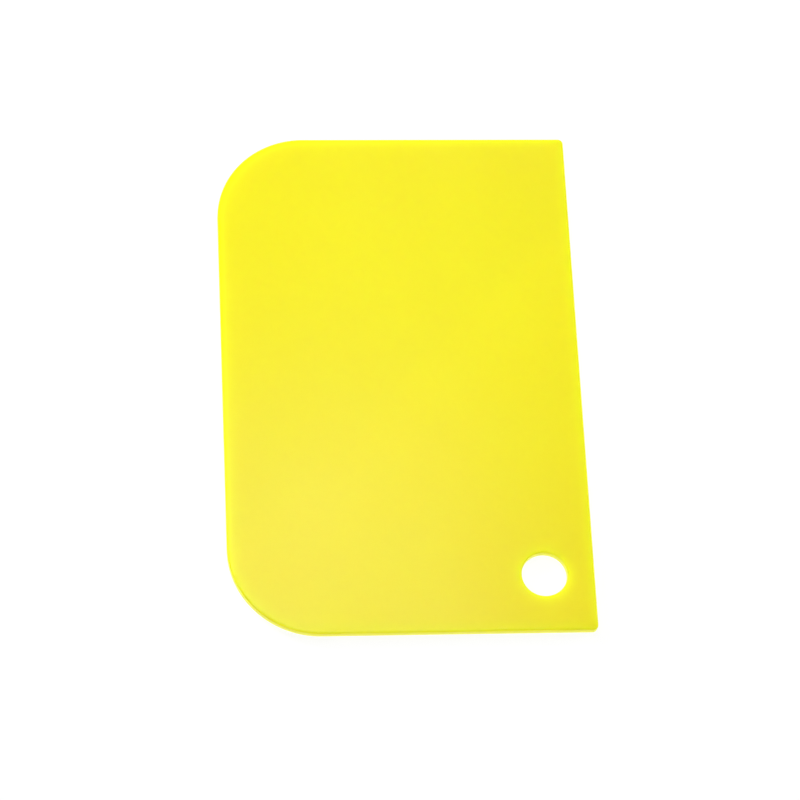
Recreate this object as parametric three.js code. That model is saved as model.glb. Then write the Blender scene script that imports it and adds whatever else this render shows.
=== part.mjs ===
// A hand squeegee for pressing vinyl film onto a surface: one flat card of soft yellow polyurethane,
// with two large round corners on its working edge and a small hole to hang it by.
//
// The card lies flat. +Y runs along its long sides, +X points from the working edge to the back edge
// and +Z is up. The origin is the middle of the bottom face. All sizes are in millimetres.
import * as THREE from 'three';

// The card.
const LENGTH = 120;
const WIDTH = 80;
const THICKNESS = 2;

// The corners of the outline: large ones at the two ends of the working edge, small ones at the back.
const WORKING_CORNER_RADIUS = 20;
const BACK_CORNER_RADIUS = 1.2;

// The rims of the card and of its hole are rounded over, above and below.
const RIM_RADIUS = 0.3;

// The hanging hole, at the back of the card near its -Y end.
const HOLE_DIAMETER = 10;
const HOLE_TO_BACK_EDGE = 11;
const HOLE_TO_END_EDGE = 13;

// How finely the round stretches are divided.
const WORKING_CORNER_STEPS = 20;
const BACK_CORNER_STEPS = 5;
const HOLE_STEPS = 40;
const RIM_STEPS = 4;

const YELLOW = 0xf5e628;
const SATIN_ROUGHNESS = 0.35;

// A point of the outline or the hole: where it is, and which way its wall faces. The point lies on an
// arc at the given angle, and facing is 1 on the outline and -1 in the hole.
function rimPoint(centre, radius, angle, facing) {
  const direction = new THREE.Vector2(Math.cos(angle), Math.sin(angle));
  return {
    place: centre.clone().addScaledVector(direction, radius),
    normal: direction.multiplyScalar(facing),
  };
}

// The points of an outer corner, a quarter turn anticlockwise from startAngle. signX and signY say
// which corner it is.
function cornerPoints(signX, signY, radius, startAngle, steps) {
  const centre = new THREE.Vector2(signX * (WIDTH / 2 - radius), signY * (LENGTH / 2 - radius));
  return Array.from({ length: steps + 1 }, (_, step) => {
    const angle = startAngle + (step / steps) * Math.PI / 2;
    return rimPoint(centre, radius, angle, 1);
  });
}

// The card's outline, anticlockwise from the back edge at +Y.
function outlineLoop() {
  return [
    ...cornerPoints(1, 1, BACK_CORNER_RADIUS, 0, BACK_CORNER_STEPS),
    ...cornerPoints(-1, 1, WORKING_CORNER_RADIUS, Math.PI / 2, WORKING_CORNER_STEPS),
    ...cornerPoints(-1, -1, WORKING_CORNER_RADIUS, Math.PI, WORKING_CORNER_STEPS),
    ...cornerPoints(1, -1, BACK_CORNER_RADIUS, 1.5 * Math.PI, BACK_CORNER_STEPS),
  ];
}

// The hole's rim, clockwise, with its wall facing the middle of the hole.
function holeLoop() {
  const centre = new THREE.Vector2(WIDTH / 2 - HOLE_TO_BACK_EDGE, HOLE_TO_END_EDGE - LENGTH / 2);
  return Array.from({ length: HOLE_STEPS }, (_, step) => {
    const angle = -2 * Math.PI * step / HOLE_STEPS;
    return rimPoint(centre, HOLE_DIAMETER / 2, angle, -1);
  });
}

// The card's side in section, from the flat of the bottom face to the flat of the top face. Each entry
// says how far it lies in from the wall and how high above the bottom face.
function sideSection() {
  const lower = Array.from({ length: RIM_STEPS + 1 }, (_, step) => {
    const angle = (step / RIM_STEPS) * Math.PI / 2;
    return { inset: RIM_RADIUS * (1 - Math.sin(angle)), height: RIM_RADIUS * (1 - Math.cos(angle)) };
  });
  const upper = lower.map(({ inset, height }) => ({ inset, height: THICKNESS - height }));
  return [...lower, ...upper.reverse()];
}

// The loop's points, moved in from the wall and up to one height.
function ringAt(loop, { inset, height }) {
  return loop.map(({ place, normal }) => {
    const inner = place.clone().addScaledVector(normal, -inset);
    return new THREE.Vector3(inner.x, inner.y, height);
  });
}

// The wall between neighbouring rings of one loop, with its faces towards the loop's right-hand side.
// first is the loop's first vertex in a ring, and stride is how many vertices a whole ring holds.
function wallFaces(first, count, stride, ringCount) {
  const faces = [];
  for (let ring = 0; ring < ringCount - 1; ring += 1) {
    for (let point = 0; point < count; point += 1) {
      const here = ring * stride + first + point;
      const next = ring * stride + first + (point + 1) % count;
      faces.push(here, next, next + stride);
      faces.push(here, next + stride, here + stride);
    }
  }
  return faces;
}

// The flat bottom and top faces, each the area between the outline and the hole. topOffset is how many
// vertices lie between a point of the bottom face and the one above it.
function flatFaces(outer, hole, topOffset) {
  const flat = (point) => new THREE.Vector2(point.x, point.y);
  const triangles = THREE.ShapeUtils.triangulateShape(outer.map(flat), [hole.map(flat)]);
  return triangles.flatMap(([a, b, c]) => [a, c, b, a + topOffset, b + topOffset, c + topOffset]);
}

function cardGeometry() {
  const outline = outlineLoop();
  const hole = holeLoop();
  const section = sideSection();
  const stride = outline.length + hole.length;
  const rings = section.map((level) => [...ringAt(outline, level), ...ringAt(hole, level)]);
  const faces = [
    ...wallFaces(0, outline.length, stride, section.length),
    ...wallFaces(outline.length, hole.length, stride, section.length),
    ...flatFaces(ringAt(outline, section[0]), ringAt(hole, section[0]), (section.length - 1) * stride),
  ];
  const geometry = new THREE.BufferGeometry().setFromPoints(rings.flat());
  geometry.setIndex(faces);
  geometry.computeVertexNormals();
  return geometry;
}

function squeegeeBlade() {
  const material = new THREE.MeshStandardMaterial({
    color: YELLOW,
    roughness: SATIN_ROUGHNESS,
    metalness: 0,
  });
  const blade = new THREE.Mesh(cardGeometry(), material);
  blade.name = 'squeegee_blade';
  return blade;
}

const group = new THREE.Group();
group.add(squeegeeBlade());

export default group;
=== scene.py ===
from math import cos, pi, radians, sin

import bpy
from mathutils import Matrix, Vector
from mathutils.geometry import delaunay_2d_cdt


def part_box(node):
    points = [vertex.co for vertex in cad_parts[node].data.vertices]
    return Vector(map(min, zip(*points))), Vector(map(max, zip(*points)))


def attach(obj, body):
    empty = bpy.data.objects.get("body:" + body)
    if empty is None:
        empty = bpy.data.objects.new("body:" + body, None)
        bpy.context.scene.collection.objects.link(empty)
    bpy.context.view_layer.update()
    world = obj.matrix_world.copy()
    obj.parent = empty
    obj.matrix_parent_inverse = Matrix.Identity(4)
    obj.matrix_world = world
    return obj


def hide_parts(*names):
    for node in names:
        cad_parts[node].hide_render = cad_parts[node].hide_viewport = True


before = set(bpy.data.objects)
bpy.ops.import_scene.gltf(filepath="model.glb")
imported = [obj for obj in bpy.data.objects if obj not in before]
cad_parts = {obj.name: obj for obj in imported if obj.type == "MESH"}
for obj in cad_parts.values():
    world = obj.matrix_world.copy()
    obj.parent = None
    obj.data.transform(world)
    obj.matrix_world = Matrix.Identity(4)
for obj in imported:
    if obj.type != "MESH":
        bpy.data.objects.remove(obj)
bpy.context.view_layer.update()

MM = 0.001

# The card's size comes from the frame. These are the features that its box doesn't give.
CARD_LOW, CARD_HIGH = (Vector(corner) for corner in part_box("squeegee_blade"))
WORKING_CORNER_RADIUS = 20 * MM
BACK_CORNER_RADIUS = 1.2 * MM
RIM_RADIUS = 0.3 * MM
HOLE_RADIUS = 5 * MM
HOLE_TO_BACK_EDGE = 11 * MM
HOLE_TO_END_EDGE = 13 * MM

# The view: where the camera looks, from which side and height (in degrees), how it is turned about its own
# axis (in degrees), how far off it is, its lens (in the camera's own millimetres), and how far it sees.
AIM = Vector((-0.71, -5.33, 2.0)) * MM
AZIMUTH = -13.52
ELEVATION = 65.66
ROLL = 11.86
DISTANCE = 757.8 * MM
LENS = 153.8
SIGHT = 10


# ---------------------------------------------------------------- camera

def add_camera():
    """A camera that looks at AIM."""
    azimuth, elevation = radians(AZIMUTH), radians(ELEVATION)
    back = Vector((sin(azimuth) * cos(elevation), -cos(azimuth) * cos(elevation), sin(elevation)))
    data = bpy.data.cameras.new("camera")
    data.lens = LENS
    data.clip_end = SIGHT
    camera = bpy.data.objects.new("camera", data)
    facing = back.to_track_quat("Z", "Y").to_matrix().to_4x4()
    roll = Matrix.Rotation(radians(ROLL), 4, "Z")
    camera.matrix_world = Matrix.Translation(AIM + back * DISTANCE) @ (facing @ roll)
    bpy.context.collection.objects.link(camera)
    bpy.context.scene.camera = camera


# ---------------------------------------------------------------- card

# How finely the card is divided: the round stretches, the straight ones, the rims' rounding, the rings of
# vertices on the faces beside a rim, and the looser lines of vertices further in.
WORKING_CORNER_STEPS = 48
BACK_CORNER_STEPS = 8
HOLE_STEPS = 96
STRAIGHT_SPACING = 2 * MM
RIM_STEPS = 6
FACE_MARGINS = [0.15 * MM, 0.4 * MM, 0.7 * MM]
CONTOURS = [1.5 * MM, 2.1 * MM, 3.0 * MM, 4.2 * MM, 5.8 * MM]
CONTOUR_TOLERANCE = 0.01 * MM

# The staggered grid over the rest of the faces. Its rows lie ROW_RATIO times as far apart as its columns,
# which makes its triangles equal-sided. FIRST_COLUMN is how far in the first one starts, in columns.
FIELD_CLEARANCE = CONTOURS[-1] + 1.2 * MM
FIELD_SPACING = 2.5 * MM
ROW_RATIO = 0.866
FIRST_COLUMN = 0.25

# For delaunay_2d_cdt: the kind of result that fills only the loops, and how near two points may lie.
FILL_LOOPS = 2
NEAREST_POINTS = 1e-9


class RimPoint:
    """A point of the card's outline or hole, with the way its wall faces."""

    def __init__(self, place, normal):
        self.place = place
        self.normal = normal

    def inward(self, distance):
        return self.place - self.normal * distance


def corner(sign_x, sign_y, radius, start, steps):
    """A quarter turn of the outline, anticlockwise from the angle start."""
    middle = (CARD_LOW + CARD_HIGH) / 2
    half = (CARD_HIGH - CARD_LOW) / 2
    centre = Vector((middle.x + sign_x * (half.x - radius), middle.y + sign_y * (half.y - radius)))
    points = []
    for step in range(steps + 1):
        angle = start + step / steps * pi / 2
        normal = Vector((cos(angle), sin(angle)))
        points.append(RimPoint(centre + normal * radius, normal))
    return points


def with_straights(points, spacing):
    """Closes a loop of corner points with evenly divided straight stretches."""
    loop = []
    for index, point in enumerate(points):
        after = points[(index + 1) % len(points)]
        loop.append(point)
        steps = round((after.place - point.place).length / spacing)
        for step in range(1, steps):
            loop.append(RimPoint(point.place.lerp(after.place, step / steps), point.normal))
    return loop


def outline_loop():
    corners = corner(1, 1, BACK_CORNER_RADIUS, 0, BACK_CORNER_STEPS)
    corners += corner(-1, 1, WORKING_CORNER_RADIUS, pi / 2, WORKING_CORNER_STEPS)
    corners += corner(-1, -1, WORKING_CORNER_RADIUS, pi, WORKING_CORNER_STEPS)
    corners += corner(1, -1, BACK_CORNER_RADIUS, 1.5 * pi, BACK_CORNER_STEPS)
    return with_straights(corners, STRAIGHT_SPACING)


def hole_centre():
    return Vector((CARD_HIGH.x - HOLE_TO_BACK_EDGE, CARD_LOW.y + HOLE_TO_END_EDGE))


def hole_loop():
    """The hole's rim, clockwise, so that its wall faces the middle of the hole."""
    points = []
    for step in range(HOLE_STEPS):
        angle = -2 * pi * step / HOLE_STEPS
        outward = Vector((cos(angle), sin(angle)))
        points.append(RimPoint(hole_centre() + outward * HOLE_RADIUS, -outward))
    return points


def side_section():
    """The card's side, from the flat of the bottom face round the rim to the flat of the top face: how far
    each ring of vertices lies in from the wall, and its height."""
    quarter = [(RIM_RADIUS + margin, 0) for margin in reversed(FACE_MARGINS)]
    for step in range(RIM_STEPS + 1):
        angle = step / RIM_STEPS * pi / 2
        quarter.append((RIM_RADIUS * (1 - sin(angle)), RIM_RADIUS * (1 - cos(angle))))
    lower = [(inset, CARD_LOW.z + rise) for inset, rise in quarter]
    upper = [(inset, CARD_HIGH.z - rise) for inset, rise in quarter]
    return lower + upper[::-1]


def ring(loop, inset, height):
    return [(*point.inward(inset), height) for point in loop]


def walls(first, count, stride, ring_count):
    """The quads between each ring and the next. The rings have count vertices, and start stride apart."""
    faces = []
    for level in range(ring_count - 1):
        for index in range(count):
            here = level * stride + first + index
            after = level * stride + first + (index + 1) % count
            faces.append((here, after, after + stride, here + stride))
    return faces


def rim_distance(x, y):
    """How far a point of the card is from the outline or the hole, whichever is nearer."""
    middle = (CARD_LOW + CARD_HIGH) / 2
    half = (CARD_HIGH - CARD_LOW) / 2
    radius = WORKING_CORNER_RADIUS if x < middle.x else BACK_CORNER_RADIUS
    over = Vector((abs(x - middle.x) - half.x + radius, abs(y - middle.y) - half.y + radius))
    beyond = Vector((max(over.x, 0), max(over.y, 0))).length
    to_outline = radius - beyond - min(max(over.x, over.y), 0)
    to_hole = (Vector((x, y)) - hole_centre()).length - HOLE_RADIUS
    return max(min(to_outline, to_hole), 0)


def contour_points(rim):
    """Points that follow the rims at set distances, where no other rim is nearer."""
    points = []
    for distance in CONTOURS:
        for point in rim:
            inner = point.inward(distance)
            if abs(rim_distance(inner.x, inner.y) - distance) < CONTOUR_TOLERANCE:
                points.append(inner)
    return points


def field_points():
    """Points of a staggered grid over the flat of the card, clear of the lines along its rims."""
    points = []
    rows = int((CARD_HIGH.y - CARD_LOW.y) / (FIELD_SPACING * ROW_RATIO))
    columns = int((CARD_HIGH.x - CARD_LOW.x) / FIELD_SPACING)
    for row in range(rows):
        for column in range(columns):
            x = CARD_LOW.x + (column + FIRST_COLUMN + 0.5 * (row % 2)) * FIELD_SPACING
            y = CARD_LOW.y + (row + 0.5) * FIELD_SPACING * ROW_RATIO
            if rim_distance(x, y) > FIELD_CLEARANCE:
                points.append(Vector((x, y)))
    return points


def inside_flat(points, face):
    """Whether the face lies within the innermost rings, so not in the hole."""
    middle = sum((points[index] for index in face), Vector((0, 0))) / len(face)
    return rim_distance(middle.x, middle.y) > RIM_RADIUS + FACE_MARGINS[-1]


def flat_triangles(border, loops, rim):
    """Fills a flat face inside its border. The border's points come first in the points it gives."""
    inner = contour_points(rim) + field_points()
    points, _, faces, _, _, _ = delaunay_2d_cdt(border + inner, [], loops, FILL_LOOPS, NEAREST_POINTS)
    return points, [face for face in faces if inside_flat(points, face)]


def card_mesh():
    """The rings round the outline and the hole, stacked into walls, and the two flat faces inside them."""
    outline, hole = outline_loop(), hole_loop()
    section = side_section()
    stride = len(outline) + len(hole)
    vertices = []
    for inset, height in section:
        vertices += ring(outline, inset, height) + ring(hole, inset, height)
    faces = walls(0, len(outline), stride, len(section))
    faces += walls(len(outline), len(hole), stride, len(section))

    border = [Vector(place[:2]) for place in vertices[:stride]]
    loops = [list(range(len(outline))), list(range(len(outline), stride))]
    points, triangles = flat_triangles(border, loops, outline + hole)
    last_ring = (len(section) - 1) * stride
    for upper, first in ((False, 0), (True, last_ring)):
        offset = len(vertices)
        z = CARD_HIGH.z if upper else CARD_LOW.z
        vertices += [(point.x, point.y, z) for point in points[stride:]]
        for face in triangles:
            corners = [first + i if i < stride else offset + i - stride for i in face]
            faces.append(tuple(corners if upper else reversed(corners)))

    mesh = bpy.data.meshes.new("squeegee_blade_skin")
    mesh.from_pydata(vertices, [], faces)
    distance = mesh.attributes.new("rim_distance", "FLOAT", "POINT")
    for vertex in mesh.vertices:
        distance.data[vertex.index].value = rim_distance(vertex.co.x, vertex.co.y)
    mesh.shade_smooth()
    return mesh


# ---------------------------------------------------------------- material

# The plastic drifts between a golden yellow and a lemon one in broad soft clouds. Its rims are painted a
# brighter, greener yellow, a painted glow that stands in for light gathered at the rims, and that fades
# over RIM_GLOW_REACH.
GOLDEN_YELLOW = (0.825, 0.66, 0.013)
LEMON_YELLOW = (0.83, 0.73, 0.010)
RIM_GLOW_YELLOW = (0.89, 0.95, 0.004)
RIM_GLOW_REACH = 1.0 * MM

# Light that enters the plastic spreads this far: SCATTER_SCALE times the share of each colour.
SCATTER_RADIUS = (1.0, 0.8, 0.1)
SCATTER_SCALE = 12 * MM

# The noise of the clouds in the colour, the smears in the gloss and the moulded grain. Each scale is in
# repeats per metre, and each detail is the number of finer layers. Nearly all noise lies in NOISE_RANGE.
NOISE_RANGE = (0.3, 0.7)
CLOUD_SCALE = 14
CLOUD_DETAIL = 2
CLOUD_SEED = 34
SMEAR_SCALE = 60
SMEAR_DETAIL = 4
ROUGHNESS_RANGE = (0.32, 0.38)
GRAIN_SCALE = 1800
GRAIN_DETAIL = 3
GRAIN_STRENGTH = 0.15
GRAIN_DEPTH = 0.02 * MM


def rim_glow_share(nodes, links):
    """The share of the painted rim glow: 1 at the rims, fading over RIM_GLOW_REACH towards the middle of
    the faces.
    """
    distance = nodes.new("ShaderNodeAttribute")
    distance.attribute_name = "rim_distance"
    scaled = nodes.new("ShaderNodeMath")
    scaled.operation = "DIVIDE"
    scaled.inputs[1].default_value = -RIM_GLOW_REACH
    fade = nodes.new("ShaderNodeMath")
    fade.operation = "EXPONENT"
    links.new(distance.outputs["Fac"], scaled.inputs[0])
    links.new(scaled.outputs[0], fade.inputs[0])
    return fade.outputs[0]


def noise(nodes, links, place, scale, detail, seed=0):
    """Noise in four dimensions: the place, and the seed."""
    texture = nodes.new("ShaderNodeTexNoise")
    texture.noise_dimensions = "4D"
    texture.inputs["W"].default_value = seed
    texture.inputs["Scale"].default_value = scale
    texture.inputs["Detail"].default_value = detail
    links.new(place, texture.inputs["Vector"])
    return texture.outputs["Fac"]


def stretched(nodes, links, value, low, high):
    """A noise's value, stretched from NOISE_RANGE to run from low to high."""
    stretch = nodes.new("ShaderNodeMapRange")
    stretch.inputs["From Min"].default_value = NOISE_RANGE[0]
    stretch.inputs["From Max"].default_value = NOISE_RANGE[1]
    stretch.inputs["To Min"].default_value = low
    stretch.inputs["To Max"].default_value = high
    links.new(value, stretch.inputs["Value"])
    return stretch.outputs["Result"]


def mixed(nodes, links, share, first, second):
    """A colour between first and second, each of them a colour or a node's output."""
    mix = nodes.new("ShaderNodeMix")
    mix.data_type = "RGBA"
    links.new(share, mix.inputs["Factor"])
    for name, colour in (("A", first), ("B", second)):
        socket = next(s for s in mix.inputs if s.name == name and s.type == "RGBA")
        if isinstance(colour, tuple):
            socket.default_value = (*colour, 1)
        else:
            links.new(colour, socket)
    return next(s for s in mix.outputs if s.type == "RGBA")


def polyurethane():
    material = bpy.data.materials.new("yellow_polyurethane")
    material.use_nodes = True
    nodes, links = material.node_tree.nodes, material.node_tree.links
    shader = nodes["Principled BSDF"]
    place = nodes.new("ShaderNodeTexCoord").outputs["Object"]

    clouds = noise(nodes, links, place, CLOUD_SCALE, CLOUD_DETAIL, CLOUD_SEED)
    lemon_share = stretched(nodes, links, clouds, 0, 1)
    field = mixed(nodes, links, lemon_share, GOLDEN_YELLOW, LEMON_YELLOW)
    # The rims get a painted glow: a brighter yellow that stands in for light gathered at the rims.
    colour = mixed(nodes, links, rim_glow_share(nodes, links), field, RIM_GLOW_YELLOW)
    links.new(colour, shader.inputs["Base Color"])

    smears = noise(nodes, links, place, SMEAR_SCALE, SMEAR_DETAIL)
    links.new(stretched(nodes, links, smears, *ROUGHNESS_RANGE), shader.inputs["Roughness"])

    grain = noise(nodes, links, place, GRAIN_SCALE, GRAIN_DETAIL)
    bump = nodes.new("ShaderNodeBump")
    bump.inputs["Strength"].default_value = GRAIN_STRENGTH
    bump.inputs["Distance"].default_value = GRAIN_DEPTH
    links.new(grain, bump.inputs["Height"])
    links.new(bump.outputs["Normal"], shader.inputs["Normal"])

    shader.inputs["Subsurface Weight"].default_value = 1.0
    shader.inputs["Subsurface Radius"].default_value = SCATTER_RADIUS
    shader.inputs["Subsurface Scale"].default_value = SCATTER_SCALE
    return material


def add_card():
    card = bpy.data.objects.new("squeegee_blade_skin", card_mesh())
    card.data.materials.append(polyurethane())
    bpy.context.collection.objects.link(card)
    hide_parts("squeegee_blade")
    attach(card, "root")


# ---------------------------------------------------------------- studio

# The floor lies just below the card. It is dull, and it gives off light, so that the card's shadow on it
# is faint.
FLOOR_SIZE = 6.0
FLOOR_DROP = 0.05 * MM
FLOOR_GREY = 0.20
FLOOR_GLOW = 0.90
FLOOR_ROUGHNESS = 0.9
FLOOR_SPECULAR = 0.1

# The room's brightness, from the horizon (0) up to the zenith (1). The horizon is as bright as the far
# floor, and above it the room darkens, so that a low view shows a soft sheen on the card.
WORLD_BANDS = [(0.0, 0.92), (0.06, 0.92), (0.12, 0.25), (0.5, 0.12), (0.7, 0.02)]

# The softboxes: name, place, size across, power in watts, and whether the card mirrors it. The key would
# bleach it from low views, and the middle one would put a sheen where the card is clear.
SOFTBOXES = [
    ("key", (-0.35, 0.31, 0.19), 0.16, 2.55, False),
    ("top", (-0.013, 0.013, 0.19), 0.12, 0.105, True),
    ("middle", (0.0, 0.02, 0.08), 0.06, 0.0065, False),
    ("back", (0.12, 0.50, 0.69), 0.16, 0.20, True),
    ("right", (0.45, 0.10, 0.15), 0.16, 0.7, True),
    ("front", (0.05, -0.35, 0.40), 0.16, 0.14, True),
]


def add_floor():
    mesh = bpy.data.meshes.new("floor")
    half = FLOOR_SIZE / 2
    corners = [(x, y, -FLOOR_DROP) for x, y in ((-half, -half), (half, -half), (half, half), (-half, half))]
    mesh.from_pydata(corners, [], [(0, 1, 2, 3)])
    floor = bpy.data.objects.new("floor", mesh)
    material = bpy.data.materials.new("floor")
    material.use_nodes = True
    shader = material.node_tree.nodes["Principled BSDF"]
    shader.inputs["Base Color"].default_value = (FLOOR_GREY, FLOOR_GREY, FLOOR_GREY, 1)
    shader.inputs["Roughness"].default_value = FLOOR_ROUGHNESS
    shader.inputs["Specular IOR Level"].default_value = FLOOR_SPECULAR
    shader.inputs["Emission Color"].default_value = (1, 1, 1, 1)
    shader.inputs["Emission Strength"].default_value = FLOOR_GLOW
    mesh.materials.append(material)
    bpy.context.collection.objects.link(floor)


def add_softbox(name, place, size, power, mirrored):
    """A round softbox that faces the card. One that isn't mirrored leaves no reflection on it."""
    data = bpy.data.lights.new(name, "AREA")
    data.shape = "DISK"
    data.size = size
    data.energy = power
    light = bpy.data.objects.new(name, data)
    light.location = place
    light.rotation_euler = (-Vector(place)).to_track_quat("-Z", "Y").to_euler()
    light.visible_glossy = mirrored
    bpy.context.collection.objects.link(light)


def add_world():
    """A dim room, with a pale horizon that darkens upwards."""
    world = bpy.data.worlds.new("studio")
    world.use_nodes = True
    nodes, links = world.node_tree.nodes, world.node_tree.links
    place = nodes.new("ShaderNodeTexCoord")
    split = nodes.new("ShaderNodeSeparateXYZ")
    ramp = nodes.new("ShaderNodeValToRGB")
    links.new(place.outputs["Generated"], split.inputs[0])
    links.new(split.outputs["Z"], ramp.inputs[0])
    stops = ramp.color_ramp.elements
    while len(stops) < len(WORLD_BANDS):
        stops.new(1)
    for stop, (height, brightness) in zip(stops, WORLD_BANDS):
        stop.position = height
        stop.color = (brightness, brightness, brightness, 1)
    links.new(ramp.outputs[0], nodes["Background"].inputs["Color"])
    bpy.context.scene.world = world


def add_studio():
    bpy.context.scene.view_settings.view_transform = "Standard"
    add_world()
    add_floor()
    for softbox in SOFTBOXES:
        add_softbox(*softbox)


add_camera()
add_card()
add_studio()
